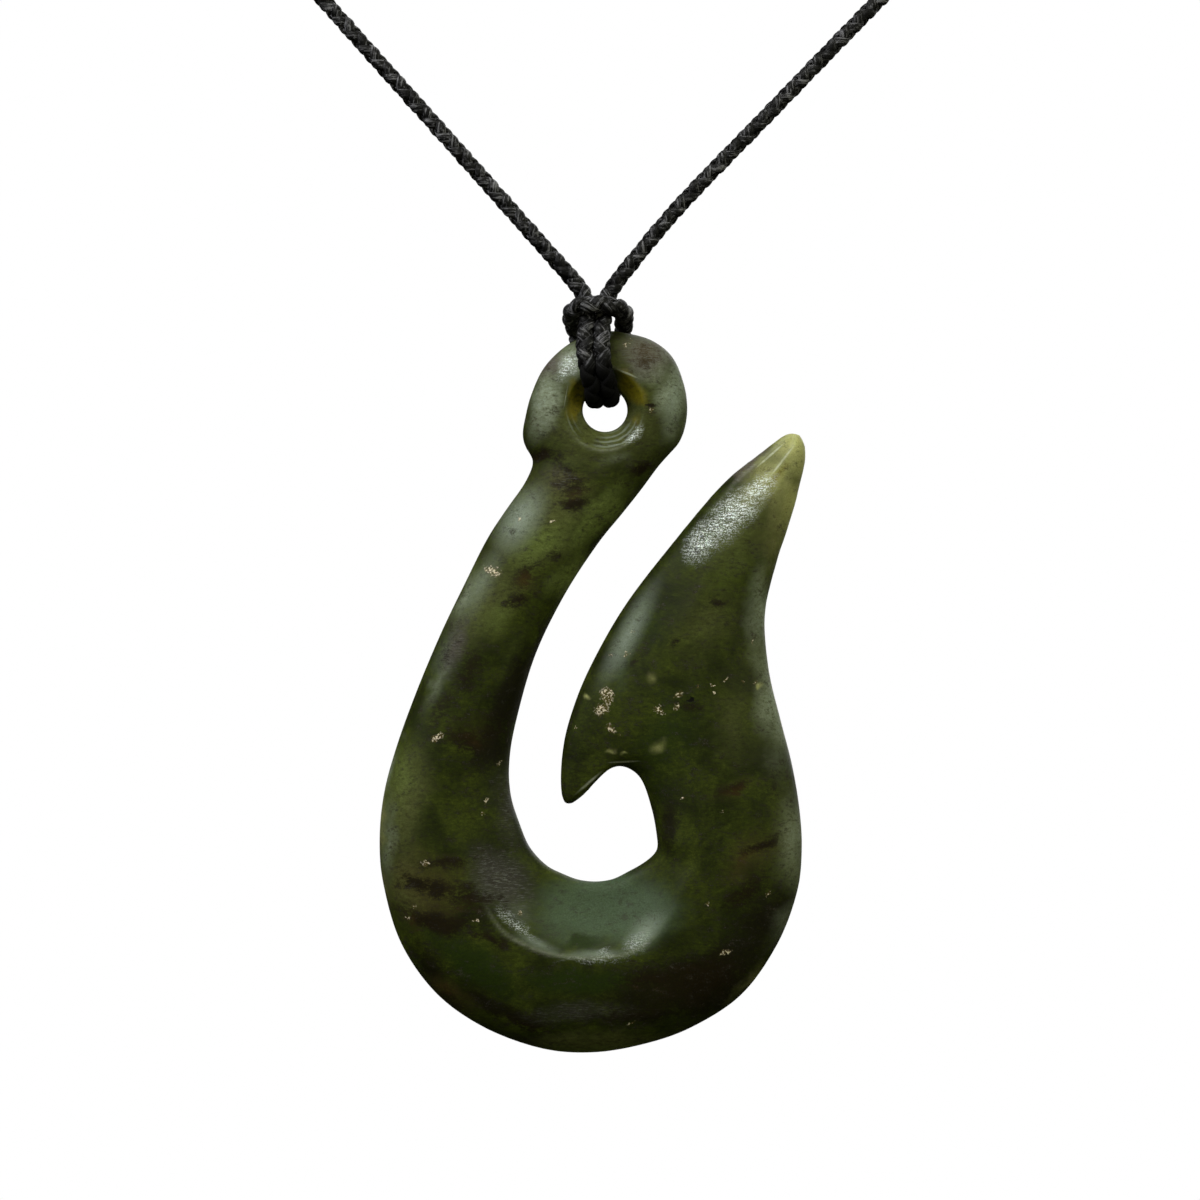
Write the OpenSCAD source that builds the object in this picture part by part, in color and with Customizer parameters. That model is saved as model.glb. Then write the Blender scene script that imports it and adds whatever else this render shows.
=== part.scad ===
// A hei matau: a fish hook carved from greenstone, hanging on a black braided neck cord.
// Millimetres. X runs to the right and Z up, and the carved front looks along -Y.
// The origin is the spot where the cord rests on the nape of the neck.

/* [Stone] */
// Greatest thickness of the stone, at the bottom of the bend
stone_t = 9; // [7:0.1:10]
// Diameter of the hole through the head
hole_d = 4.5; // [4.2:0.1:4.8]
// Diameter of the dish around each mouth of the hole
dish_d = 8.2; // [7.4:0.1:8.6]
// Depth of each dish
dish_depth = 1.6; // [1:0.1:2]
// Thickness of the barb at its tip, as a share of the stone around it
barb_share = 0.5; // [0.3:0.05:1]
// Distance from the tip of the barb over which it thickens
barb_reach = 14; // [8:1:20]
// Thickness of the scooped lip, as a share of the ridge beside it
lip_share = 0.42; // [0.3:0.02:0.6]

/* [Cord] */
// Diameter of the braided cord
cord_d = 1.5; // [1.2:0.1:1.5]
// Diameter of the knot at the nape
knot_d = 4.4; // [3.8:0.1:6]
// Number of turns in the knot at the nape
knot_turns = 5; // [3:1:6]

/* [Smoothness] */
// Sections made from one row of the table to the next
row_steps = 3; // [1:1:3]
// Points across each half of a face of the stone
half_points = 6; // [4:1:7]

/* [Hidden] */

// Middle of the hole in the head
bore_at = [0, -120, -106];
// Half the stone's thickness at the head, where the dishes start
head_half = 3.5;
knot_len = knot_turns * cord_d;

// Sections of the stone, in order from the top of the head, round the bend, to the point.
// Places are measured from the middle of the hole: the outer edge, then the inner edge.
OUT_X = 0;
OUT_Z = 1;
IN_X = 2;
IN_Z = 3;
// Half the thickness at the crown, as a share of half the greatest thickness
HALF = 4;
// Where the crown lies, as a share of the way from the inner edge to the outer
CROWN = 5;
// 1 is a scooped bevel from the crown to the inner edge, 0 a round one, -1 one of two flats
BEVEL = 6;
// How full the inner and the outer half are: 2 is an ellipse, and more is squarer
IN_FULL = 7;
OUT_FULL = 8;
SECTIONS = [
    // Head
    [-0.1, 7.88, 0.5, 7.88, 0.11, 0.5, 0, 2, 2],
    [-1.3, 7.67, 1.7, 7.78, 0.3, 0.5, 0, 2, 2],
    [-3.85, 6.45, 4.6, 7, 0.62, 0.5, 0, 2.2, 2.2],
    [-6.1, 4.25, 6.75, 5.3, 0.76, 0.5, 0, 2.3, 2.3],
    [-7.4, 1.5, 7.9, 2.6, 0.78, 0.5, 0, 2.3, 2.3],
    [-8, -0.8, 8.25, 0.2, 0.78, 0.5, 0, 2.3, 2.3],
    [-8.25, -2.4, 8, -1.8, 0.78, 0.5, 0, 2.3, 2.3],
    [-8, -3.6, 7.4, -3.3, 0.78, 0.5, 0, 2.3, 2.3],
    [-7.3, -4.8, 6.4, -4.45, 0.78, 0.5, 0, 2.3, 2.3],
    [-7.3, -5.7, 5.3, -5.7, 0.79, 0.5, 0, 2.3, 2.3],
    [-8.15, -7.5, 3.6, -8, 0.8, 0.5, 0, 2.3, 2.3],
    // Shank
    [-9.95, -10.05, 1.7, -10.4, 0.82, 0.5, 0, 2.3, 2.3],
    [-11.85, -13, -0.8, -13.5, 0.85, 0.5, 0, 2.3, 2.3],
    [-14, -17.3, -4.1, -18.6, 0.89, 0.5, 0, 2.3, 2.3],
    [-16.4, -22.3, -7, -24.6, 0.91, 0.5, 0, 2.3, 2.3],
    [-18.8, -28, -8.9, -31.2, 0.92, 0.5, 0, 2.3, 2.3],
    [-20.8, -33.5, -9.55, -35.2, 0.93, 0.5, 0, 2.3, 2.3],
    [-22.1, -38.3, -9.4, -38.5, 0.94, 0.48, 0.05, 2.3, 2.3],
    // Bend, with the scooped bevel along the throat
    [-22.55, -43, -8.5, -41.4, 0.96, 0.45, 0.25, 2.3, 2.3],
    [-22.15, -47.5, -7.5, -43.7, 0.97, 0.43, 0.6, 2.3, 2.3],
    [-20.4, -53.3, -5.85, -45.5, 0.98, 0.43, 0.9, 2.3, 2.3],
    [-16.9, -58.3, -4.2, -46.35, 0.99, 0.46, 1, 2.3, 2.2],
    [-12.15, -61.7, -2.8, -46.9, 1, 0.46, 1, 2.3, 2.2],
    [-6.5, -63.8, -1.6, -47.1, 1, 0.45, 1, 2.3, 2.2],
    [-1.5, -64.25, -0.4, -47.1, 1, 0.45, 1, 2.3, 2.2],
    [3.5, -63.5, 0.9, -46.85, 0.99, 0.46, 1, 2.3, 2.2],
    [8.5, -61.8, 2.2, -46.2, 0.98, 0.42, 0.95, 2.3, 2.2],
    [13.6, -58.5, 3.5, -45.5, 0.97, 0.33, 0.8, 2.4, 2.2],
    [17.2, -53.5, 4.5, -44.8, 0.96, 0.27, 0.5, 2.6, 2.2],
    [19.2, -48.3, 5.2, -44, 0.95, 0.3, 0.2, 3, 2.2],
    [19.7, -44, 5.2, -42.8, 0.94, 0.35, 0, 3.5, 2.2],
    // Notch under the barb
    [19.45, -39.8, 4.7, -40, 0.93, 0.42, 0, 3.7, 2.2],
    [18.7, -35.4, 3.55, -36.8, 0.91, 0.48, 0, 3.7, 2.2],
    [17.6, -31.1, 1.7, -35.6, 0.9, 0.5, 0, 3.6, 2.2],
    [16.5, -26.6, 0, -36.1, 0.89, 0.5, 0, 3.5, 2.2],
    [16, -22.3, -1.1, -37.2, 0.88, 0.5, 0, 3.4, 2.2],
    [16.1, -19.6, -2.3, -38.6, 0.87, 0.5, 0, 3.3, 2.2],
    [16.6, -17.3, -3.8, -39.45, 0.86, 0.5, 0, 3.2, 2.2],
    // Point, with its rounded shoulder and the two flats near the tip
    [17.1, -15.5, -4.4, -38, 0.85, 0.5, -0.05, 3.1, 2.2],
    [17.5, -14.1, -4.3, -34.5, 0.83, 0.51, -0.2, 3, 2.2],
    [18, -12.7, -3.55, -30.9, 0.81, 0.53, -0.4, 3, 2.2],
    [18.5, -11.1, -1.65, -26, 0.78, 0.57, -0.6, 3, 2.2],
    [19.05, -9.3, 1.95, -19.6, 0.74, 0.6, -0.7, 3, 2.2],
    [19.45, -7.6, 7, -13, 0.67, 0.6, -0.85, 3, 2.2],
    [19.85, -6, 11.75, -7.4, 0.55, 0.57, -1, 3, 2.2],
    [20.05, -4.7, 15.4, -4.4, 0.4, 0.57, -1, 3, 2.2],
    [19.95, -3.45, 17.55, -2.75, 0.27, 0.55, -1, 2.6, 2.2],
    [19.45, -2.4, 18.4, -2.3, 0.12, 0.5, -0.5, 2, 2]
];

// The tip of the barb, where the stone is thinned
BARB_ROW = 37;
barb_tip = [SECTIONS[BARB_ROW][IN_X], SECTIONS[BARB_ROW][IN_Z]];
// Height of the scooped lip's flat start, and how steeply the scoop then rises
lip_run = 0.13;
scoop_power = 2;
// Where the edge between the two flats of the point lies, how high, and how full the outer flat is
flat_knee = 0.3;
flat_knee_h = 0.7;
flat_full = 1.5;

// The hitch's route through the hole, from the left leg to the right one, from the hole's middle
HITCH = [
    [-3.2, -0.9, 13],
    [-2.2, -1, 11.6],
    [-1.75, -1.6, 10.1],
    [-1.8, -2.6, 8.7],
    [-1.95, -3.5, 7.2],
    [-1.95, -4.2, 5.5],
    [-1.7, -4.4, 3.9],
    [-1.3, -3.6, 2.3],
    [-1.05, -2.3, 1],
    [-1.05, 0, 0.95],
    [-1.05, 2.3, 1],
    [-1.35, 3.6, 2.3],
    [-1.8, 4.4, 3.9],
    [-2.3, 4.1, 5.6],
    [-2.9, 3.2, 7.3],
    [-3.4, 1.6, 8.6],
    [-3.6, -0.1, 9.5],
    [-3.5, -2.1, 10.1],
    [-2.55, -3.35, 10.5],
    [-0.9, -3.45, 10.7],
    [0.7, -3.3, 10.5],
    [1.75, -2.3, 10.2],
    [1.95, -0.6, 9.7],
    [1.9, 1.4, 9.1],
    [1.8, 3.3, 7.6],
    [1.5, 4.2, 5.7],
    [1.1, 4.4, 3.9],
    [0.7, 3.6, 2.4],
    [0.5, 2.2, 1.3],
    [0.5, 0, 1.25],
    [0.5, -2.2, 1.3],
    [0.3, -3.6, 2.4],
    [-0.1, -4.4, 3.9],
    [-0.35, -4.2, 5.5],
    [-0.35, -3.5, 7.3],
    [-0.2, -2.6, 8.7],
    [-0.1, -1.7, 10.1],
    [0.35, -1.1, 11.4],
    [1.35, -0.9, 13]
];

// Routes of the two legs from the nape to the hitch, from the origin
LEFT_LEG = [
    [-14, 1.8, 0],
    [-26, -0.8, -0.5],
    [-39, -7.5, -2],
    [-50.5, -17.5, -4.5],
    [-58.5, -31, -8.5],
    [-62.5, -46, -13.5],
    [-63, -62, -19.5],
    [-60, -78, -26.5],
    [-54, -92, -35],
    [-45, -103, -45.5],
    [-34, -111, -58],
    [-23, -115.5, -70.5],
    [-12, -118.5, -83]
];
RIGHT_LEG = [
    [7.5, -119, -85.5],
    [17, -116.5, -75.5],
    [27, -113.5, -65],
    [38, -108, -53.5],
    [48, -99, -43],
    [56, -87, -33.5],
    [61, -73, -25.5],
    [63, -58, -18.5],
    [62, -43, -12.5],
    [57, -28, -7.5],
    [48, -15, -4],
    [35, -5.5, -1.5],
    [19, 0.9, -0.3]
];
cord_sides = 8;
leg_steps = 2;

// A smooth curve through rows of numbers, with a number of steps from each row to the next
function between(a, b, c, d, t) =
    b + t * (c - a) / 2 + t * t * (a - 2.5 * b + 2 * c - d / 2)
    + t * t * t * (1.5 * b - 1.5 * c + d / 2 - a / 2);
function curve(rows, steps) =
    let (last = len(rows) - 1)
    [
        for (i = [0 : last - 1], k = [0 : steps - 1])
            between(rows[max(i - 1, 0)], rows[i], rows[i + 1], rows[min(i + 2, last)], k / steps),
        rows[last]
    ];

// Height of half a face at v, which runs from 0 at its edge to 1 at the crown
function round_h(v, full) = pow(max(0, 1 - pow(1 - v, full)), 1 / full);
function scoop_h(v) = lip_share * round_h(min(v / lip_run, 1), 2) + (1 - lip_share) * pow(v, scoop_power);
function flats_h(v) =
    v < flat_knee ? flat_knee_h * round_h(v / flat_knee, flat_full)
    : flat_knee_h + (1 - flat_knee_h) * (v - flat_knee) / (1 - flat_knee);
function bevel_h(v, bevel, full) =
    let (round = round_h(v, full))
    bevel > 0 ? round + bevel * (scoop_h(v) - round) : round - bevel * (flats_h(v) - round);

// The barb grows thinner towards its tip
function smooth(t) = t * t * (3 - 2 * t);
function thinning(x, z) =
    barb_share + (1 - barb_share) * smooth(min(norm([x, z] - barb_tip) / barb_reach, 1));

// Share of the way across, and height, of each point of one face from the inner to the outer edge
function face_points(s) = [
    for (i = [0 : 2 * half_points])
        let (
            inner = i <= half_points,
            v = 1 - cos(90 * (inner ? i : 2 * half_points - i) / half_points),
            u = inner ? s[CROWN] * v : 1 - (1 - s[CROWN]) * v,
            h = inner ? bevel_h(v, s[BEVEL], s[IN_FULL]) : round_h(v, s[OUT_FULL])
        )
        [u, h]
];

// One closed section of the stone: its front face, then its back face
function section(s) =
    let (
        face = face_points(s),
        n = 2 * half_points,
        placed = [
            for (p = face)
                let (
                    x = s[IN_X] + p[0] * (s[OUT_X] - s[IN_X]),
                    z = s[IN_Z] + p[0] * (s[OUT_Z] - s[IN_Z])
                )
                [x, p[1] * s[HALF] * stone_t / 2 * thinning(x, z), z]
        ]
    )
    [
        for (i = [0 : n]) [placed[i][0], -placed[i][1], placed[i][2]],
        for (i = [n - 1 : -1 : 1]) placed[i]
    ];

// A closed skin over a list of rings that all have the same number of points
module skin(rings) {
    n = len(rings[0]);
    last = len(rings) - 1;
    sides = [
        for (i = [0 : last - 1], k = [0 : n - 1])
            let (a = i * n + k, b = i * n + (k + 1) % n)
            each [[a, b + n, b], [a, a + n, b + n]]
    ];
    first_cap = [for (k = [0 : n - 1]) k];
    last_cap = [for (k = [n - 1 : -1 : 0]) last * n + k];
    polyhedron([for (ring = rings) each ring], concat([first_cap], sides, [last_cap]), convexity = 8);
}

// The cord's whole route, and the places in it where the hitch starts and ends
knot_end = [knot_len / 2, knot_d / 2, 0];
left_start = concat([[-knot_end[0], knot_end[1], 0]], LEFT_LEG, [bore_at + HITCH[0]]);
right_end = concat([bore_at + HITCH[len(HITCH) - 1]], RIGHT_LEG, [knot_end]);
left_route = curve(left_start, leg_steps);
right_route = curve(right_end, leg_steps);
hitch_route = [for (p = HITCH) bore_at + p];
hitch_first = len(left_route) - 1;
hitch_last = hitch_first + len(hitch_route) - 1;
route = concat(
    left_route,
    [for (i = [1 : len(hitch_route) - 1]) hitch_route[i]],
    [for (i = [1 : len(right_route) - 1]) right_route[i]]
);

function unit(v) = v / norm(v);
function heading(i) =
    i == 0 || i == len(route) - 1 ? [-1, 0, 0]
    : unit(route[i + 1] - route[i - 1]);
function square_to(v, dir) = unit(v - (v * dir) * dir);

// A direction across the cord at each point of the route, carried along without twist
across = [
    for (i = 0, a = [0, 0, 1]; i < len(route);
        i = i + 1, a = i < len(route) ? square_to(a, heading(i)) : a)
        a
];

// A length of the cord from one point of the route to another
module cord(first, last) {
    skin([
        for (i = [first : last])
            let (up = across[i], side = cross(up, heading(i)))
            [
                for (k = [0 : cord_sides - 1])
                    let (turn = 360 * (k + 0.5) / cord_sides)
                    route[i] + cord_d / 2 * (cos(turn) * side + sin(turn) * up)
            ]
    ]);
}

// The hollow dish that leads into the hole, cut by a ball in front of the head's face
module dish() {
    rim = dish_d / 2;
    ball_out = (rim * rim - pow(hole_d / 2, 2) - dish_depth * dish_depth) / (2 * dish_depth);
    translate([0, -head_half - ball_out, 0])
        sphere(r = sqrt(rim * rim + ball_out * ball_out), $fn = 64);
}

module hook() {
    color([0.2, 0.28, 0.14])
        translate(bore_at)
            difference() {
                skin([for (s = curve(SECTIONS, row_steps)) section(s)]);
                rotate([90, 0, 0])
                    cylinder(d = hole_d, h = 2 * stone_t, center = true, $fn = 64);
                dish();
                mirror([0, 1, 0])
                    dish();
            }
}

module cord_hitch() {
    color([0.07, 0.07, 0.08])
        cord(hitch_first, hitch_last);
}

module cord_left() {
    color([0.1, 0.1, 0.11])
        cord(0, hitch_first);
}

module cord_right() {
    color([0.1, 0.1, 0.11])
        cord(hitch_last, len(route) - 1);
}

// Turns of the cord wound side by side over the two ends
module nape_knot() {
    color([0.07, 0.07, 0.08])
        translate([0, knot_d / 2, 0])
            rotate([0, 90, 0])
                rotate_extrude($fn = 48)
                    union() {
                        translate([0, -knot_len / 2])
                            square([(knot_d - cord_d) / 2, knot_len]);
                        for (i = [0 : knot_turns - 1])
                            translate([(knot_d - cord_d) / 2, (i + 0.5) * cord_d - knot_len / 2])
                                circle(d = cord_d, $fn = 24);
                    }
}

hook();
cord_hitch();
cord_left();
cord_right();
nape_knot();
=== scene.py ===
# %% [markdown]
# # A greenstone fish hook on its black neck cord
#
# The pendant is a carved stone, a braided cord hitched through the hole in its head, and a knot
# behind the neck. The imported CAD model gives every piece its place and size, so it is loaded first.
# Its plain solids are then replaced, one by one, by pieces that look like stone and braid.

# %% Load the frame
import math

import bpy
import numpy as np
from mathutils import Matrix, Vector
from mathutils.kdtree import KDTree


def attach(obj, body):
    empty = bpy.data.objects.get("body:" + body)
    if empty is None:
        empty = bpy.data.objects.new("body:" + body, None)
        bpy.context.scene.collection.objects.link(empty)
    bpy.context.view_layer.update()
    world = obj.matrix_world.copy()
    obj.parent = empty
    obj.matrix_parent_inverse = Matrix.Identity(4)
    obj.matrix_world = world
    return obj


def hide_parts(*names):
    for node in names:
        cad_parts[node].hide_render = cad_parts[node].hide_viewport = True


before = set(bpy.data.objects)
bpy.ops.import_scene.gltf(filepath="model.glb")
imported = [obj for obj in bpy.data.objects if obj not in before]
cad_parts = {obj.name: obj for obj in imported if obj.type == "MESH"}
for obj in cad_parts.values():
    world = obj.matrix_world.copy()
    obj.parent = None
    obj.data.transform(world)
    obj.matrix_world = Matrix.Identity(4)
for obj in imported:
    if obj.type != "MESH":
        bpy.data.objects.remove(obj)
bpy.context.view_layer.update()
MM = 0.001
BORE = Vector((0, -0.12, -0.106))

# %% [markdown]
# ## Camera
#
# The photo looks straight at the front and shows a square 120 mm wide. A long lens from half a
# metre away gives the flat look of such a close shot.

# %% Camera
VIEW_WIDTH = 0.12
VIEW_MIDDLE = Vector((-0.0005, -0.12, -0.125))
CAMERA_AWAY = 0.5


def add_object(name, data):
    added = bpy.data.objects.new(name, data)
    bpy.context.collection.objects.link(added)
    return added


lens = bpy.data.cameras.new("camera")
lens.lens = lens.sensor_width * CAMERA_AWAY / VIEW_WIDTH
camera = add_object("camera", lens)
camera.location = VIEW_MIDDLE + Vector((0, -CAMERA_AWAY, 0))
camera.rotation_euler = (math.radians(90), 0, 0)
bpy.context.scene.camera = camera
print("camera lens", round(lens.lens), "mm")

# %% [markdown]
# ## The cord's route
#
# A cord is a fixed length on one smooth curve, so its route comes before its look. These are the
# points that the CAD solids follow, in millimetres, from the nape round to the nape. Those of the
# hitch are measured from the hole's middle.

# %% Points of the route
CORD_D = 1.5 * MM
BRAID_TURN = 4.1 * MM
KNOT_D = 4.4 * MM
KNOT_WRAPS = 5
KNOT_LEN = KNOT_WRAPS * CORD_D

LEFT_LEG = [
    [-14, 1.8, 0], [-26, -0.8, -0.5], [-39, -7.5, -2], [-50.5, -17.5, -4.5],
    [-58.5, -31, -8.5], [-62.5, -46, -13.5], [-63, -62, -19.5], [-60, -78, -26.5],
    [-54, -92, -35], [-45, -103, -45.5], [-34, -111, -58], [-23, -115.5, -70.5],
    [-12, -118.5, -83],
]
HITCH = [
    [-3.2, -0.9, 13], [-2.2, -1, 11.6], [-1.75, -1.6, 10.1], [-1.8, -2.6, 8.7],
    [-1.95, -3.5, 7.2], [-1.95, -4.2, 5.5], [-1.7, -4.4, 3.9], [-1.3, -3.6, 2.3],
    [-1.05, -2.3, 1.2], [-1.05, 0, 1.15], [-1.05, 2.3, 1.2], [-1.35, 3.6, 2.3],
    [-1.8, 4.4, 3.9], [-2.2, 4.1, 5.6], [-2.7, 3.2, 7.3], [-3.1, 1.6, 8.5],
    [-3.3, -0.1, 9.2], [-3.15, -2.1, 9.8], [-2.3, -3.4, 10.2], [-0.8, -3.6, 10.4],
    [0.6, -3.45, 10.2], [1.6, -2.3, 9.9], [1.95, -0.6, 9.4], [1.9, 1.4, 8.9],
    [1.8, 3.3, 7.6], [1.5, 4.2, 5.7], [1.1, 4.4, 3.9], [0.7, 3.6, 2.4],
    [0.5, 2.2, 1.3], [0.5, 0, 1.25], [0.5, -2.2, 1.3], [0.3, -3.6, 2.4],
    [-0.1, -4.4, 3.9], [-0.35, -4.2, 5.5], [-0.35, -3.5, 7.3], [-0.2, -2.6, 8.7],
    [-0.1, -1.7, 10.1], [0.35, -1.1, 11.4], [1.35, -0.9, 13],
]
RIGHT_LEG = [
    [7.5, -119, -85.5], [17, -116.5, -75.5], [27, -113.5, -65], [38, -108, -53.5],
    [48, -99, -43], [56, -87, -33.5], [61, -73, -25.5], [63, -58, -18.5],
    [62, -43, -12.5], [57, -28, -7.5], [48, -15, -4], [35, -5.5, -1.5], [19, 0.9, -0.3],
]
print("route points", len(LEFT_LEG), len(HITCH), len(RIGHT_LEG))

# %% [markdown]
# ## One even line
#
# A smooth curve through the points is cut into equal short steps, so that the braid has the same
# pitch everywhere. Both legs reach one turn of the braid into the knot, or a gap would show there.

# %% Measure the route
RING_GAP = 0.12 * MM
LEG_STEPS, HITCH_STEPS = 40, 24


def smooth_curve(rows, steps):
    """A curve through rows of numbers, with a number of steps from each row to the next."""
    rows = np.array(rows, float)
    padded = np.vstack([rows[:1], rows, rows[-1:]])
    a, b, c, d = padded[:-3], padded[1:-2], padded[2:-1], padded[3:]
    fine = [
        b + t * (c - a) / 2 + t * t * (a - 2.5 * b + 2 * c - d / 2)
        + t**3 * (1.5 * b - 1.5 * c + d / 2 - a / 2)
        for t in np.arange(steps) / steps
    ]
    return np.vstack([np.stack(fine, axis=1).reshape(-1, rows.shape[1]), rows[-1:]])


def evenly(points, spacing):
    """The same line with points at one spacing along it."""
    along = np.concatenate([[0], np.cumsum(np.linalg.norm(np.diff(points, axis=0), axis=1))])
    places = np.linspace(0, along[-1], round(along[-1] / spacing) + 1)
    return np.stack([np.interp(places, along, points[:, i]) for i in range(3)], axis=1)


right_in, right_out = ([x, KNOT_D / 2, 0] for x in (KNOT_LEN / 2 - BRAID_TURN, KNOT_LEN / 2))
left_in, left_out = ([-x, y, z] for x, y, z in (right_in, right_out))
hitch_line = np.array(HITCH) * MM + np.array(BORE)
left_line = [left_in, left_out, *(np.array(LEFT_LEG) * MM), hitch_line[0]]
right_line = [hitch_line[-1], *(np.array(RIGHT_LEG) * MM), right_out, right_in]
left_path = evenly(smooth_curve(left_line, LEG_STEPS), RING_GAP)
hitch_path = evenly(smooth_curve(hitch_line, HITCH_STEPS), RING_GAP)
right_path = evenly(smooth_curve(right_line, LEG_STEPS), RING_GAP)
cord_path = np.vstack([left_path, hitch_path[1:], right_path[1:]])
cord_length = (len(cord_path) - 1) * RING_GAP
print("cord length in mm", round(cord_length / MM))

# %% [markdown]
# ## The braid
#
# The cord is a round braid of four strands: two wind one way and two the other, over and under in
# turn. From the side they make two columns of slanting lumps that meet in V's, like an ear of
# wheat. A texture can't give that outline, so each strand becomes a real tube.
#
# Each point of the cord needs a direction square to it. Worked out afresh at each point, it would
# flip in the bends, so the first one is carried from point to point.

# %% Directions along the cord


def unit(vectors):
    return vectors / np.linalg.norm(vectors, axis=-1, keepdims=True)


def headings(path):
    return unit(np.gradient(path, axis=0))


def carried_sides(path, first):
    """A direction square to the path at each point, carried along it without twist."""
    sides = np.empty_like(path)
    side = np.array(first, float)
    for i, way in enumerate(headings(path)):
        side = side - side.dot(way) * way
        side /= np.linalg.norm(side)
        sides[i] = side
    return sides


cord_sides = carried_sides(cord_path, (0, 0, 1))
print("the side turns from", cord_sides[0].round(2), "to", cord_sides[-1].round(2))

# %% [markdown]
# ## Turn the braid to the front
#
# In the photo the columns of V's face the viewer and point down. So the braid is turned slowly
# between chosen points, never further than a quarter turn, as it looks the same after half a one.

# %% Turn the braid
hitch_first = len(left_path) - 1
hitch_last = hitch_first + len(hitch_path) - 1
cord_end = len(cord_path) - 1
# Chosen points on the legs, counted from the hitch
LEG_FAR, LEG_NEAR = 450, 150


def hitch_point(share):
    """The number of the cord's point at a share of the way through the hitch."""
    return round(hitch_first + share * (hitch_last - hitch_first))


def facing_turn(path, sides, showing):
    """How far to turn the braid at each point, so that its V's face the front and point down.

    showing has rows of a point's number and the way that the cord runs there, 1 up or -1 down.
    """
    ahead = headings(path)
    turns = []
    for i, way in showing:
        up = np.cross(ahead[i], sides[i])
        angle = math.atan2(-up[1], -sides[i][1]) + way * math.radians(45)
        last = turns[-1] if turns else 0
        turns.append(last + (angle - last + math.pi / 2) % math.pi - math.pi / 2)
    return np.interp(np.arange(len(path)), [i for i, _ in showing], turns)


# The left leg and the strand below it run down, and the right ones run up
down = [0, hitch_first - LEG_FAR, hitch_first - LEG_NEAR, hitch_first]
down += [hitch_point(share) for share in (0.04, 0.12, 0.2)]
up = [hitch_point(share) for share in (0.5, 0.8, 0.88, 0.96)]
up += [hitch_last, hitch_last + LEG_NEAR, hitch_last + LEG_FAR, cord_end]
showing = [(i, -1) for i in down] + [(i, 1) for i in up]
cord_turn = facing_turn(cord_path, cord_sides, showing)
print("braid turned by", [round(math.degrees(cord_turn[i])) for i, _ in showing], "degrees")

# %% [markdown]
# ## One strand
#
# A strand is a flat oval bundle of fibres. It runs round the cord once in each turn of the braid,
# and twice in it moves out over the strands that come the other way. No two lumps of a real braid
# are alike, so slow waves let a strand lie loose here and tight there.

# %% Sweep a strand
STRAND_OUT = 0.42 * MM
STRAND_WAVE = 0.14 * MM
STRAND_HALF_WIDTH = 0.52 * MM
STRAND_HALF_THICK = 0.29 * MM
STRAND_SIDES = 10
# Columns: share of the strand's distance out, radians in a millimetre, shift from strand to strand
SLACK_WAVES = ((0.07, 1.3, 5), (0.05, 3.1, 1))


def strand(path, sides, start, turn, swell, number):
    """The centreline of one strand of the braid, and which way its outer side faces."""
    up = np.cross(headings(path), sides)
    travel = start + np.arange(len(path)) * RING_GAP
    way = 1 if number < 2 else -1
    angle = way * travel * 2 * math.pi / BRAID_TURN + math.pi * (number % 2)
    slack = 1
    for share, rate, shift in SLACK_WAVES:
        slack = slack + share * np.sin(travel / MM * rate + shift * number)
    away = swell * (STRAND_OUT * slack + way * STRAND_WAVE * np.cos(2 * angle))
    angle = angle + turn
    out = np.cos(angle)[:, None] * sides + np.sin(angle)[:, None] * up
    return path + away[:, None] * out, out


def sweep(centre, out, swell):
    """The rings of an oval tube along a strand."""
    ahead = headings(centre)
    out = unit(out - (out * ahead).sum(axis=1, keepdims=True) * ahead)
    across = np.cross(ahead, out)
    turns = (np.arange(STRAND_SIDES) + 0.5) * 2 * math.pi / STRAND_SIDES
    wide = STRAND_HALF_WIDTH * np.cos(turns)[None, :, None] * across[:, None]
    thick = STRAND_HALF_THICK * np.sin(turns)[None, :, None] * out[:, None]
    return centre[:, None] + swell[:, None, None] * (wide + thick)


print("braid thickness in mm", round(2 * (STRAND_OUT + STRAND_WAVE + STRAND_HALF_THICK) / MM, 2))

# %% [markdown]
# ## A mesh of tubes
#
# Each ring of points is joined to the next by four-sided faces, and the two ends are closed. The UV
# map runs once round a strand and in millimetres along it, for the fibres of the finish.

# %% Build the tubes


def new_piece(name, points, faces):
    mesh = bpy.data.meshes.new(name)
    mesh.from_pydata(points.tolist(), [], faces)
    return add_object(name, mesh)


def skin(rings, first=0):
    """The faces along a tube, and its two ends. Its points are numbered from first."""
    count, sides = rings.shape[:2]
    at = first + np.arange(count * sides).reshape(count, sides)
    after = np.roll(at, -1, axis=1)
    quads = np.stack([at[:-1], after[:-1], after[1:], at[1:]], axis=-1).reshape(-1, 4)
    return quads.tolist(), [at[0][::-1].tolist(), at[-1].tolist()]


def triangles(piece):
    return sum(len(face.vertices) - 2 for face in piece.data.polygons)


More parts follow.
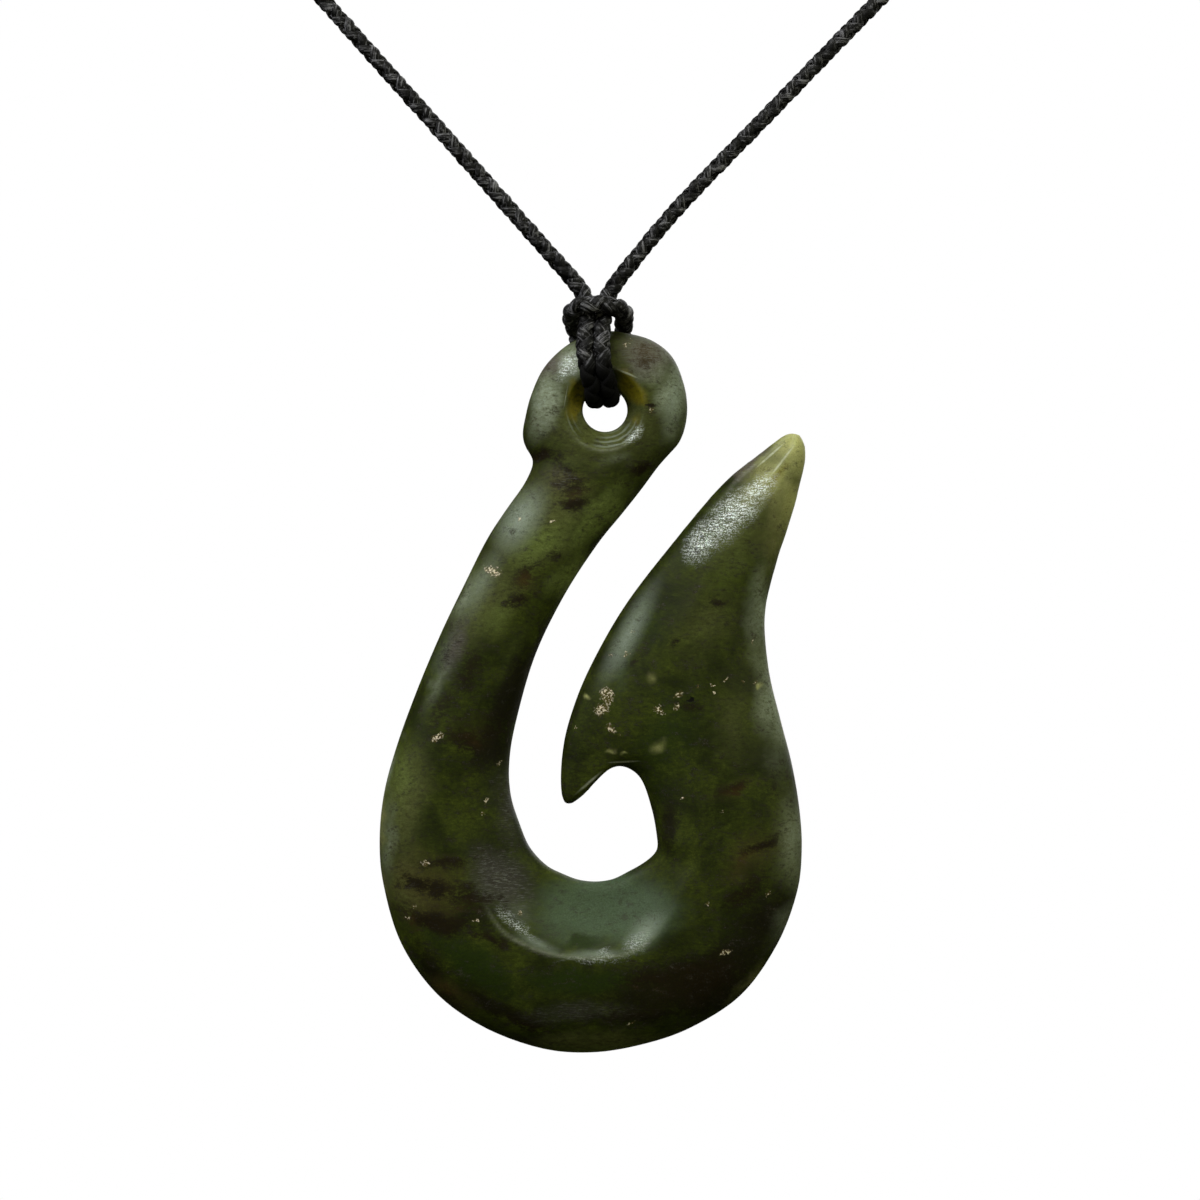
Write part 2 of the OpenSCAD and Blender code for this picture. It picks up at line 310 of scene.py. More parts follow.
def braid(name, path, sides, start, turn, swell):
    """One piece of four strands that run along a path."""
    tubes = [sweep(*strand(path, sides, start, turn, swell, i), swell) for i in range(4)]
    faces, uvs = [], []
    u0, v0 = np.meshgrid(
        np.arange(STRAND_SIDES) / STRAND_SIDES, np.arange(len(path) - 1) * RING_GAP / MM
    )
    u1, v1 = u0 + 1 / STRAND_SIDES, v0 + RING_GAP / MM
    for i, rings in enumerate(tubes):
        quads, ends = skin(rings, i * len(path) * STRAND_SIDES)
        faces += quads + ends
        uvs.append(np.stack([u0, v0, u1, v0, u1, v1, u0, v1], axis=-1).reshape(-1, 2))
        uvs.append(np.zeros((2 * STRAND_SIDES, 2)))
    piece = new_piece(name, np.vstack([rings.reshape(-1, 3) for rings in tubes]), faces)
    layer = piece.data.uv_layers.new(name="strand")
    layer.data.foreach_set("uv", np.vstack(uvs).astype(np.float32).ravel())
    piece.data.shade_smooth()
    print(name, "triangles", triangles(piece))
    return piece


# %% [markdown]
# ## The cord in three lengths
#
# The whole cord is worked out as one line, so that the braid runs on from one length to the next.
# Under the stone's weight the hitch is pressed flat and wide, so its strands are a little thicker.

# %% Braid the cord
PLAIN_SWELL, HITCH_SWELL = 1.02, 1.18
# How far outside the hitch the swelling starts, in points
SWELL_EASE = 30
swell_at = [0, hitch_first - SWELL_EASE, hitch_point(0.1)]
swell_at += [hitch_point(0.9), hitch_last + SWELL_EASE, cord_end]
swells = [PLAIN_SWELL, PLAIN_SWELL, HITCH_SWELL]
cord_swell = np.interp(np.arange(len(cord_path)), swell_at, swells + swells[::-1])


def braid_between(name, first, last):
    part, start = slice(first, last + 1), first * RING_GAP
    return braid(name, cord_path[part], cord_sides[part], start, cord_turn[part], cord_swell[part])


braid_left = braid_between("braid_left", 0, hitch_first)
braid_hitch = braid_between("braid_hitch", hitch_first, hitch_last)
braid_right = braid_between("braid_right", hitch_last, cord_end)

# %% [markdown]
# ## The knot at the nape
#
# Behind the neck the two ends meet, and a length of the same braid is wound round them. The winding
# is a helix, so its points come from one angle that grows along it.

# %% Wrap the knot
WRAP_RADIUS = (KNOT_D - CORD_D) / 2
WRAP_STEPS = 60
wrap_angles = np.linspace(0, 2 * math.pi * (KNOT_WRAPS - 1), WRAP_STEPS * KNOT_WRAPS)
wrap_x = np.linspace(-1, 1, len(wrap_angles)) * (KNOT_LEN - CORD_D) / 2
wrap_y = KNOT_D / 2 + WRAP_RADIUS * np.cos(wrap_angles)
wrap_z = WRAP_RADIUS * np.sin(wrap_angles)
wrap_path = evenly(np.stack([wrap_x, wrap_y, wrap_z], axis=1), RING_GAP)
wrap_sides = carried_sides(wrap_path, (0, 1, 0))
wrap_turn, wrap_swell = np.zeros(len(wrap_path)), np.ones(len(wrap_path))
nape_wrap = braid("nape_wrap", wrap_path, wrap_sides, 0, wrap_turn, wrap_swell)

# %% [markdown]
# ## The stone
#
# The stone is carved: outline, ridges and thickness all change along the hook. So it is lofted
# through sections, each a straight cut from the inner edge to the outer one, as the CAD solid is.
# Rows give the outer edge, the inner edge, the thickness as a share of the thickest, where the
# crown lies, how much of a scooped bevel (1) or of two flats (-1) the inner half has, and how
# square each half is. Edges are in millimetres from the hole's middle.

# %% Sections of the stone
SECTIONS = [
    # Head
    [-0.1, 7.88, 0.5, 7.88, 0.11, 0.5, 0, 2, 2],
    [-1.3, 7.67, 1.7, 7.78, 0.3, 0.5, 0, 2, 2],
    [-3.85, 6.45, 4.6, 7, 0.62, 0.5, 0, 2.2, 2.2],
    [-6.1, 4.25, 6.75, 5.3, 0.76, 0.5, 0, 2.3, 2.3],
    [-7.4, 1.5, 7.9, 2.6, 0.78, 0.5, 0, 2.3, 2.3],
    [-8, -0.8, 8.25, 0.2, 0.78, 0.5, 0, 2.3, 2.3],
    [-8.25, -2.4, 8, -1.8, 0.78, 0.5, 0, 2.3, 2.3],
    [-8, -3.6, 7.4, -3.3, 0.78, 0.5, 0, 2.3, 2.3],
    [-7.3, -4.8, 6.4, -4.45, 0.78, 0.5, 0, 2.3, 2.3],
    [-7.3, -5.7, 5.3, -5.7, 0.79, 0.5, 0, 2.3, 2.3],
    [-8.15, -7.5, 3.6, -8, 0.8, 0.5, 0, 2.3, 2.3],
    # Shank
    [-9.95, -10.05, 1.7, -10.4, 0.82, 0.5, 0, 2.3, 2.3],
    [-11.85, -13, -0.8, -13.5, 0.85, 0.5, 0, 2.3, 2.3],
    [-14, -17.3, -4.1, -18.6, 0.89, 0.5, 0, 2.3, 2.3],
    [-16.4, -22.3, -7, -24.6, 0.91, 0.5, 0, 2.3, 2.3],
    [-18.8, -28, -8.9, -31.2, 0.92, 0.5, 0, 2.3, 2.3],
    [-20.8, -33.5, -9.55, -35.2, 0.93, 0.5, 0, 2.3, 2.3],
    [-22.1, -38.3, -9.4, -38.5, 0.94, 0.48, 0.05, 2.3, 2.3],
    # Bend, with the scooped bevel along the throat
    [-22.55, -43, -8.5, -41.4, 0.96, 0.45, 0.25, 2.3, 2.3],
    [-22.15, -47.5, -7.5, -43.7, 0.97, 0.43, 0.6, 2.3, 2.3],
    [-20.4, -53.3, -5.85, -45.5, 0.98, 0.43, 0.9, 2.3, 2.3],
    [-16.9, -58.3, -4.2, -46.35, 0.99, 0.46, 1, 2.3, 2.2],
    [-12.15, -61.7, -2.8, -46.9, 1, 0.45, 1, 2.3, 2.2],
    [-6.5, -63.8, -1.6, -47.1, 1, 0.435, 1, 2.3, 2.2],
    [-1.5, -64.25, -0.4, -47.1, 1, 0.43, 1, 2.3, 2.2],
    [3.5, -63.5, 0.9, -46.85, 0.99, 0.435, 1, 2.3, 2.2],
    [8.5, -61.8, 2.2, -46.2, 0.98, 0.4, 0.95, 2.3, 2.2],
    [13.6, -58.5, 3.5, -45.5, 0.97, 0.33, 0.8, 2.4, 2.2],
    [17.2, -53.5, 4.5, -44.8, 0.96, 0.27, 0.5, 2.6, 2.2],
    [19.2, -48.3, 5.2, -44, 0.95, 0.3, 0.2, 3, 2.2],
    [19.7, -44, 5.2, -42.8, 0.94, 0.35, 0, 3.5, 2.2],
    # Notch under the barb
    [19.45, -39.8, 4.7, -40, 0.93, 0.42, 0, 3.7, 2.2],
    [18.7, -35.4, 3.55, -36.8, 0.91, 0.48, 0, 3.7, 2.2],
    [17.6, -31.1, 1.7, -35.6, 0.9, 0.5, 0, 3.6, 2.2],
    [16.5, -26.6, 0, -36.1, 0.89, 0.5, 0, 3.5, 2.2],
    [16, -22.3, -1.1, -37.2, 0.88, 0.5, 0, 3.4, 2.2],
    [16.1, -19.6, -2.3, -38.6, 0.87, 0.5, 0, 3.3, 2.2],
    [16.6, -17.3, -3.8, -39.45, 0.86, 0.5, 0, 3.2, 2.2],
    # Point, with its rounded shoulder and the two flats near the tip
    [17.1, -15.5, -4.4, -38, 0.85, 0.5, -0.05, 3.1, 2.2],
    [17.5, -14.1, -4.3, -34.5, 0.83, 0.51, -0.2, 3, 2.2],
    [18, -12.7, -3.55, -30.9, 0.81, 0.53, -0.4, 3, 2.2],
    [18.5, -11.1, -1.65, -26, 0.78, 0.57, -0.6, 3, 2.2],
    [19.05, -9.3, 1.95, -19.6, 0.74, 0.6, -0.7, 3, 2.2],
    [19.45, -7.6, 7, -13, 0.67, 0.6, -0.85, 3, 2.2],
    [19.85, -6, 11.75, -7.4, 0.55, 0.57, -1, 3, 2.2],
    [20.05, -4.7, 15.4, -4.4, 0.4, 0.57, -1, 3, 2.2],
    [19.95, -3.45, 17.55, -2.75, 0.27, 0.55, -1, 2.6, 2.2],
    [19.45, -2.4, 18.4, -2.3, 0.12, 0.5, -0.5, 2, 2],
]
print("sections of the stone", len(SECTIONS))

# %% [markdown]
# ## Loft the sections
#
# A loft needs the same number of points in every section. So each row becomes a closed ring, with
# its points closer together near the edges, where the stone bends most. The scoop and the flats are
# formulas, and one number in a row blends them in, as a carver lets a bevel run out.

# %% Loft the stone
STONE_HALF = 4.5
SECTION_STEPS = 10
HALF_POINTS = 18
# The scoop has a lip at the throat: its share of the height, and of the width of the half
LIP_SHARE, LIP_RUN, SCOOP_POWER = 0.42, 0.13, 2
# The two flats meet in a knee: its place on the half, its height, and how square it is
KNEE_AT, KNEE_HEIGHT, KNEE_FULL = 0.3, 0.6, 1.5
# The stone thins to this share at the barb's tip, from this far away
BARB_TIP, BARB_SHARE, BARB_REACH = (-3.8, -39.45), 0.5, 14


def rounded(v, full):
    return np.maximum(0, 1 - (1 - v) ** full) ** (1 / full)


def inner_height(v, bevel, full):
    """Height of the inner half of a face, from its edge (v = 0) to its crown (v = 1)."""
    plain = rounded(v, full)
    if bevel > 0:
        scoop = LIP_SHARE * rounded(np.minimum(v / LIP_RUN, 1), 2)
        scoop += (1 - LIP_SHARE) * v**SCOOP_POWER
        return plain + bevel * (scoop - plain)
    flat = KNEE_HEIGHT * rounded(np.minimum(v / KNEE_AT, 1), KNEE_FULL)
    flat += (1 - KNEE_HEIGHT) * np.maximum(v - KNEE_AT, 0) / (1 - KNEE_AT)
    return plain - bevel * (flat - plain)


def stone_ring(row):
    """One closed section of the stone: its front face, then its back face."""
    out_x, out_z, in_x, in_z, half, crown, bevel, in_full, out_full = row
    v = 1 - np.cos(np.radians(90 * np.arange(HALF_POINTS + 1) / HALF_POINTS))
    share = np.concatenate([crown * v, (1 - (1 - crown) * v)[-2::-1]])
    height = np.concatenate([inner_height(v, bevel, in_full), rounded(v, out_full)[-2::-1]])
    x, z = in_x + share * (out_x - in_x), in_z + share * (out_z - in_z)
    near = np.minimum(np.hypot(x - BARB_TIP[0], z - BARB_TIP[1]) / BARB_REACH, 1)
    y = height * half * STONE_HALF * (BARB_SHARE + (1 - BARB_SHARE) * near * near * (3 - 2 * near))
    front, back = np.stack([x, -y, z], axis=1), np.stack([x, y, z], axis=1)
    return np.vstack([front, back[-2:0:-1]])


stone_rings = np.array([stone_ring(row) for row in smooth_curve(SECTIONS, SECTION_STEPS)])
stone_rings = stone_rings * MM + np.array(BORE)
stone_skin, (head_end, tip_end) = skin(stone_rings)
stone_faces = [head_end, *stone_skin, tip_end]
carved_hook = new_piece("carved_hook", stone_rings.reshape(-1, 3), stone_faces)
print("lofted faces", len(stone_faces))

# %% [markdown]
# ## The hole and its dishes
#
# The hole is drilled, and a round burr then opens both its mouths into shallow dishes. So a
# cylinder and two balls are cut away here. A remesh before them gives the loft an even skin, which
# cuts cleanly. Another one and a light smoothing take the sharpness off every edge, as polishing
# by hand does.

# %% Drill the stone
HOLE_D, DISH_D, DISH_DEPTH, HEAD_HALF = 4.5 * MM, 8.2 * MM, 1.6 * MM, 3.5 * MM
HOLE_SIDES, BALL_SIDES = 96, 128
POLISH_GRAIN = 0.27 * MM
POLISH_PASSES = 2
UPRIGHT = (math.radians(90), 0, 0)


def deselect():
    bpy.ops.object.select_all(action="DESELECT")


def apply_modifier(piece, kind, **settings):
    deselect()
    piece.select_set(True)
    bpy.context.view_layer.objects.active = piece
    modifier = piece.modifiers.new(kind.lower(), kind)
    for name, value in settings.items():
        setattr(modifier, name, value)
    bpy.ops.object.modifier_apply(modifier=modifier.name)


def cut_away(piece, cutter):
    apply_modifier(piece, "BOOLEAN", object=cutter, operation="DIFFERENCE", solver="EXACT")
    bpy.data.objects.remove(cutter)


apply_modifier(carved_hook, "REMESH", mode="VOXEL", voxel_size=POLISH_GRAIN)
deselect()
bpy.ops.mesh.primitive_cylinder_add(
    vertices=HOLE_SIDES, radius=HOLE_D / 2, depth=4 * HEAD_HALF, location=BORE, rotation=UPRIGHT
)
cut_away(carved_hook, bpy.context.object)
# The ball whose cap is as wide as the dish on the face and as wide as the hole at its depth
dish_rim = DISH_D / 2
ball_out = (dish_rim**2 - (HOLE_D / 2) ** 2 - DISH_DEPTH**2) / (2 * DISH_DEPTH)
for side in (-1, 1):
    deselect()
    bpy.ops.mesh.primitive_uv_sphere_add(
        segments=BALL_SIDES, ring_count=BALL_SIDES // 2, radius=math.hypot(dish_rim, ball_out),
        location=BORE + Vector((0, side * (HEAD_HALF + ball_out), 0)), rotation=UPRIGHT,
    )
    cut_away(carved_hook, bpy.context.object)
apply_modifier(carved_hook, "REMESH", mode="VOXEL", voxel_size=POLISH_GRAIN)
apply_modifier(carved_hook, "SMOOTH", factor=0.5, iterations=POLISH_PASSES)
carved_hook.data.shade_smooth()
print("polished triangles", triangles(carved_hook))

# %% [markdown]
# ## Pale edges
#
# Handling wears the ridges pale: the rim of the scoop, the two ridges at the point and the rims of
# the dishes, and the pale paint is also a painted highlight where they catch the light. The remesh
# has lost these lines, so each point of the mesh looks up how near it is to one, and keeps the
# answer as an attribute for the finish.

# %% Mark the ridges
EDGE_REACH = 0.34 * MM
# Past RIM_FROM of the bevel the scoop's rim is pale, and below FLATS_BELOW the flats' ridges are
RIM_FROM, RIM_GAIN, FLATS_BELOW = 0.9, 10, -0.5
# The ridges of the point fade in from this x of the inner edge, over this length
TIP_FROM, TIP_RUN = 8, 6
DISH_PALE, DISH_STEP = 0.95, 2

ridges = []
knee_point = int(HALF_POINTS * math.acos(1 - KNEE_AT) / math.radians(90))
for row in smooth_curve(SECTIONS, 4 * SECTION_STEPS):
    ring = stone_ring(row) * MM + np.array(BORE)
    bevel, near_tip = row[6], (row[2] - TIP_FROM) / TIP_RUN
    marks, pale_weight = (), 0
    if bevel > RIM_FROM:
        marks, pale_weight = (HALF_POINTS,), RIM_GAIN * (bevel - RIM_FROM)
    if bevel < FLATS_BELOW and near_tip > 0:
        marks, pale_weight = (HALF_POINTS, knee_point), min(1, near_tip)
    for mark in marks:
        ridges += [(ring[mark], pale_weight), (ring[-mark], pale_weight)]
for turn in np.radians(np.arange(0, 360, DISH_STEP)):
    for side in (-1, 1):
        around = Vector((dish_rim * math.cos(turn), side * HEAD_HALF, dish_rim * math.sin(turn)))
        ridges.append((np.array(BORE + around), DISH_PALE))

nearest_ridge = KDTree(len(ridges))
for i, (point, _) in enumerate(ridges):
    nearest_ridge.insert(point, i)
nearest_ridge.balance()
pale_ridges = []
for vertex in carved_hook.data.vertices:
    _, i, away = nearest_ridge.find(vertex.co)
    pale_ridges.append(ridges[i][1] * max(0, 1 - away / EDGE_REACH))
carved_hook.data.attributes.new("pale_ridges", "FLOAT", "POINT").data.foreach_set("value", pale_ridges)
print("worn points", sum(w > 0 for w in pale_ridges))

# %% [markdown]
# ## Arithmetic for finishes
#
# A procedural finish is a sum of masks. Written as nodes it is hard to read, so one small class
# wraps a node's output and lets Python's own signs add the Math nodes.


# %% Shader arithmetic
class Signal:
    """The output of a node, which takes part in sums."""

    def __init__(self, finish, socket):
        self.finish, self.socket = finish, socket

    def math(self, operation, *values):
        return self.finish.node("ShaderNodeMath", {"operation": operation}, dict(enumerate(values)))

    def __add__(self, other):
        return self.math("ADD", self, other)

    def __sub__(self, other):
        return self.math("SUBTRACT", self, other)

    def __rsub__(self, other):
        return self.math("SUBTRACT", other, self)

    def __mul__(self, other):
        return self.math("MULTIPLY", self, other)

    __radd__, __rmul__ = __add__, __mul__

    def most(self, other):
        return self.math("MAXIMUM", self, other)

    def clipped(self):
        return self.math("MAXIMUM", self.math("MINIMUM", self, 1), 0)

    def rise(self, low, high):
        """0 below low, 1 above high, and a soft rise between them."""
        return self.finish.node(
            "ShaderNodeMapRange", {"interpolation_type": "SMOOTHSTEP"},
            {"Value": self, "From Min": low, "From Max": high},
        )


print("signs for finishes: + - *")

# %% [markdown]
# ## A material and its nodes
#
# A second class holds a material with its Principled shader. Its node method adds any node and
# fills in its inputs, and the nodes that are needed often get short names.


# %% Nodes by name
class Finish:
    """A material and the nodes of its shader."""

    def __init__(self, name, **constants):
        self.material = bpy.data.materials.new(name)
        self.material.use_nodes = True
        self.shader = self.material.node_tree.nodes["Principled BSDF"]
        for socket, value in constants.items():
            self.shine(socket, value)

    def plug(self, socket, value):
        if isinstance(value, Signal):
            self.material.node_tree.links.new(value.socket, socket)
        else:
            socket.default_value = value

    def shine(self, socket, value):
        """Sets or links a socket of the Principled shader, with _ for a space in its name."""
        self.plug(self.shader.inputs[socket.replace("_", " ")], value)

    def node(self, kind, settings=None, inputs=None, output=0):
        added = self.material.node_tree.nodes.new(kind)
        for name, value in (settings or {}).items():
            setattr(added, name, value)
        for key, value in (inputs or {}).items():
            self.plug(added.inputs[key], value)
        return Signal(self, added.outputs[output])

    def vector(self, operation, *values, output=0):
        settings = {"operation": operation}
        return self.node("ShaderNodeVectorMath", settings, dict(enumerate(values)), output)

    def noise(self, place, scale, detail=2, roughness=0.5, distortion=0):
        values = (place, scale, detail, roughness, distortion)
        names = ("Vector", "Scale", "Detail", "Roughness", "Distortion")
        return self.node("ShaderNodeTexNoise", inputs=dict(zip(names, values)))

    def stretched(self, place, scale, turn=(0, 0, 0)):
        inputs = {"Vector": place, "Scale": scale, "Rotation": turn}
        return self.node("ShaderNodeMapping", inputs=inputs)

    def mix(self, under, over, mask, blend="MIX"):
        settings = {"data_type": "RGBA", "blend_type": blend}
        return self.node("ShaderNodeMix", settings, {0: mask, 6: under, 7: over}, output=2)

    def bump(self, height, distance, strength=1.0, under=None):
        inputs = {"Height": height, "Distance": distance, "Strength": strength}
        if under:
            inputs["Normal"] = under
        return self.node("ShaderNodeBump", inputs=inputs)

    def tell(self, done):
        print(self.material.name, done, "done, nodes", len(self.material.node_tree.nodes))


print("short names for nodes: vector noise stretched mix bump")

# %% [markdown]
# ## Greenstone
#
# Nephrite is never one green. Its body is dark olive, lighter in the head, with leaf green in
# places, a pale bloom and a jade scoop. Painted light and shade lie in the same layers: the rims
# and the bottom rim are painted lighter for the light that falls there, the scoop is painted
# paler where it faces the light, painted shade lies near black under the scoop, and painted
# sheen lies on the rims and the head. Each has its own places on this stone, so each layer is a
# short table of soft spots, in millimetres from the hole's middle. They run right through it, and
# a warp that changes with depth makes the back differ from the front.

# %% Spots of green
# Columns of every table: x, z, half-length, half-width, tilt in degrees, strength
# Light olive; on the rims and the bottom rim it is painted light, side light and light bounced up
LIGHT_OLIVE_AND_PAINTED_LIGHT = [
    (0, 0.5, 11, 10, 0, 1), (-6, -11, 9.5, 6, 50, 1), (-11.8, -19, 9, 5, 62, 0.75),
    (-19.8, -39.5, 9, 3.4, 80, 0.9), (16.5, -27, 13, 4, 95, 0.7), (14, -11.5, 9, 4.5, 50, 0.8),
    (-20, -47, 6, 3.6, 90, 0.9), (-4, -50, 6, 4, 0, 0.4), (18.5, -43, 9, 3, 95, 0.8),
    (10, -21, 8, 5, 60, 0.6), (13, -31, 8, 4, 95, 0.5), (-2, -63.2, 14, 2, 0, 1),
]
# Leaf green; on the shank's right edge and along the bottom rim it is painted light
BRIGHT_GREEN_AND_PAINTED_LIGHT = [
    (-6, -13.2, 5.5, 2.3, 35, 1), (-10.8, -20.8, 3.4, 2.6, 60, 0.6), (-20.2, -37, 7, 2, 80, 0.6),
    (-8, -17, 6, 3, 50, 0.3), (-9, -24, 6, 2, 64, 0.3), (12.8, -15, 6, 2.4, 60, 0.4),
    (-0.6, -10.8, 6, 1.8, 50, 1.2), (-20.5, -36, 5, 1.6, 80, 0.4), (-2, -64.2, 14, 1.4, 0, 1),
    (-3.8, -16.2, 4.5, 1.3, 55, 1),
]
DEEP_GREEN = [
    (-13, -55.3, 8, 2.4, -35, 1), (-2.5, -56.8, 9, 2.2, 0, 1), (6, -33, 9, 5.5, 70, 0.6),
    (-2.2, -53.1, 3.6, 0.8, -4, 1), (4.5, -22, 6, 3, 60, 0.5),
]
SHADE = [
    (8, -57.5, 13, 4.6, 5, 1), (16, -51, 7, 4, 50, 0.8), (-8.6, -27.5, 8, 2.4, 63, 1),
    (-13, -50.6, 7, 2.6, -8, 0.5), (-10, -59.9, 8, 1.5, -14, 0.9), (4, -60.2, 10, 1.4, 5, 0.8),
    (-11.5, -33.5, 4.5, 3, 50, 0.9), (6.3, -41, 4.5, 1.5, 85, 0.8),
    (-6.4, -23.6, 4.5, 1.5, 62, 0.9), (-17, -56, 6, 1.6, -52, 0.7), (-2.6, -37, 4, 1.4, 75, 0.4),
    (13, -55, 8, 4, 35, 0.8), (-16.6, -50.4, 6.5, 2.4, -8, 0.9), (-17.4, -47.2, 5, 1.5, -5, 0.6),
    (10, -57, 7, 3, 15, 0.7),
]
# Pale bloom, with painted sheen and painted reflections on the head and along the rims
PALE_BLOOM_AND_SHEEN = [
    (-6, 0.8, 5.5, 2.4, 78, 1), (6.8, 1.4, 5, 2.2, 80, 1), (4.4, 4.6, 4.4, 2.6, -40, 0.9),
    (6.6, -2.4, 3, 1.6, 60, 0.5), (-14, -19, 5, 1.6, 65, 0.6), (16.6, -29, 11, 2.8, 98, 0.8),
    (18.8, -43, 9, 3, 92, 0.66), (15.4, -20, 8, 2.6, 92, 0.8), (17.6, -51, 6, 2.2, 62, 0.5),
    (-21.4, -36, 7, 1, 78, 0.6), (-3.4, 4.6, 4, 3, 45, 1), (5.4, 5, 3.4, 2, -45, 0.6),
    (1, -5.2, 3.4, 1.2, 10, 0.4), (-16.5, -27, 6, 1.4, 65, 0.5), (-1.4, -37.7, 2.6, 0.5, 42, 0.6),
    (-21.6, -43, 8, 1.3, 88, 0.5),
]
# Painted sheen: soft highlights on the shank, the arm, the scoop's lip and the head's rim
PAINTED_SHEEN = [
    (2.4, -22.4, 7.6, 1.7, 62, 0.9), (-8.4, -11, 5, 2.8, 58, 1), (-12.4, -17.5, 6, 1.8, 62, 0.6),
    (-15.8, -24, 5, 1.6, 66, 0.4), (-1.2, -54.1, 5.5, 0.7, 2, 0.65), (4, -51.9, 3.6, 1.9, 40, 0.75),
    (-6.6, -53.1, 3.6, 0.8, -24, 0.65), (-8.6, -49.9, 2.8, 1.6, -50, 0.4),
    (6.9, 1, 5, 1.6, 80, 0.8),
]
# Jade tone, painted paler on the scoop where its upturned face catches the light
JADE_AND_SCOOP_LIGHT = [(0.3, -49.8, 9.8, 5.2, 0, 1), (1.8, -26, 5, 1.5, 66, 0.3)]
greens = LIGHT_OLIVE_AND_PAINTED_LIGHT + BRIGHT_GREEN_AND_PAINTED_LIGHT + DEEP_GREEN + SHADE + PALE_BLOOM_AND_SHEEN + PAINTED_SHEEN + JADE_AND_SCOOP_LIGHT
print("spots of green", len(greens))

# %% [markdown]
# ## Stains and hazes
#
# Iron stains the stone brown: a thin wash, dark dashes where it has run into cracks, and a redder
# tint beside them. The thin tip and the wall of the hole let light through, and their yellow glow
# is painted in, as is some light along the bottom rim. Where the skin is scuffed, a violet or a
# grey haze lies over the green, and the hazes also hold painted sheen and a painted reflection of
# the floor along the bottom.

# %% Spots of brown, yellow and grey
BROWN_WASH = [
    (-18, -47.5, 6.5, 5.5, -5, 1), (-13, -32, 5, 3, 20, 0.6), (14.5, -44.5, 6, 3.6, 35, 0.8),
    (9, -57.5, 9, 3, 15, 0.4), (-15.5, -58.5, 6, 2.2, -42, 0.9), (-4, -7.5, 4.5, 3, 0, 0.6),
    (12.8, -37.8, 4, 1.8, 15, 0.6), (-8, -17.5, 3.6, 3, 0, 0.6),
]
BROWN_STAIN = [
    (-6.3, -4.6, 1.8, 0.9, -20, 0.9), (-3.4, -5.8, 1.8, 0.6, 0, 0.7), (3.7, -5.8, 1.9, 0.8, 35, 1),
    (-2.9, -9.6, 2.2, 0.8, -5, 1), (-3.4, -7.8, 3, 1.6, 0, 0.6), (-4.8, -5, 2, 1, 0, 0.6),
    (3.9, 5.2, 2.4, 1.6, 0, 0.3), (-7.7, -16.4, 2.8, 2, 20, 0.65), (-8.8, -19, 2.2, 1.2, 10, 0.7),
    (-4.6, -14, 2, 0.8, 50, 0.5), (-13.4, -32.8, 3.4, 1.8, 0, 0.8), (-13.6, -26, 3, 1.6, 60, 0.6),
    (-16.5, -30, 3, 1.4, 65, 0.5), (-11, -31.5, 3.4, 1.8, 40, 0.6),
    (-17.6, -47.4, 4.4, 1.2, -5, 0.95), (-16.8, -50.6, 5.2, 1.5, -8, 1.05),
    (-13, -48.6, 4.4, 1.4, -10, 0.8), (-15.5, -45.3, 4, 0.9, 0, 0.7),
    (-11.5, -52.8, 3.4, 0.9, -12, 0.8), (5, -56.6, 6, 1.6, 5, 0.8), (10, -56.6, 5.4, 2.4, 24, 1.3),
    (14, -48, 4, 1.4, 35, 0.7), (15.4, -43.6, 2.8, 0.9, 35, 1), (12.8, -37.8, 2.1, 0.8, 15, 0.9),
    (7, -23.5, 1.5, 0.4, 10, 0.7), (11, -19, 2, 1.2, 0, 0.5), (-15.8, -58.8, 3, 1, -40, 0.6),
    (-8, -61, 4.4, 1, -12, 0.7), (4.9, 0.15, 1, 0.35, -5, 0.9), (17, -37, 3, 1, 70, 0.4),
    (3, -60, 6, 1.2, 8, 0.5), (-15.5, -23.4, 3, 1.4, 62, 0.4), (3.2, -25.5, 1.8, 0.5, 15, 0.5),
    (8.6, -29.5, 2, 0.8, 0, 0.5), (-5.5, -2.5, 1.6, 0.8, 0, 0.4), (1.6, -7.6, 1.4, 0.7, 0, 0.5),
]
RED_STAIN = [
    (-8, -16.8, 2, 1.4, 0, 0.9), (-13, -32.6, 2.4, 1.4, 0, 0.6), (-14.5, -49.2, 4, 1, -5, 0.4),
    (12.8, -38, 1.9, 0.8, 15, 0.8), (-16, -57.8, 3, 1.2, -40, 0.8), (3.5, -57.5, 5, 1, 0, 0.25),
    (3.8, 5.6, 2.6, 1.8, 0, 0.8), (15.4, -6.2, 3.2, 0.9, 47, 0.35), (14, -45, 2.6, 1.2, 35, 0.6),
    (-19.5, -51, 3, 1.2, -60, 0.6), (-3, -8.8, 2.4, 1.2, 0, 0.5),
]
# Yellow spots, and painted glow where the tip lets light through and light along the bottom rim
YELLOW_SPOTS_AND_GLOW = [
    (19.5, -3.5, 5, 4.4, 60, 1), (17, -6.5, 6, 4, 45, 0.75), (18.4, -9, 6, 3.2, 80, 0.8),
    (14.5, -8.5, 4, 2, 45, 0.5), (-22.3, -41, 6, 0.8, 85, 0.4), (-22.4, -47, 4, 0.7, 95, 0.35),
    (5.6, -33.7, 1.3, 0.9, 20, 0.5), (5, -26.9, 1.1, 0.7, 20, 0.38),
    (0.7, -34.3, 0.7, 0.4, 10, 0.5), (2, -34.5, 0.6, 0.35, 0, 0.5), (-1.6, -28.4, 0.8, 0.5, 0, 0.7),
    (15, -27.3, 0.5, 0.4, 0, 0.8), (14.5, -57, 4, 1, 45, 0.3), (-3, -64.8, 12, 1, 0, 0.3),
    (17, -13, 6, 2.6, 76, 0.4),
]
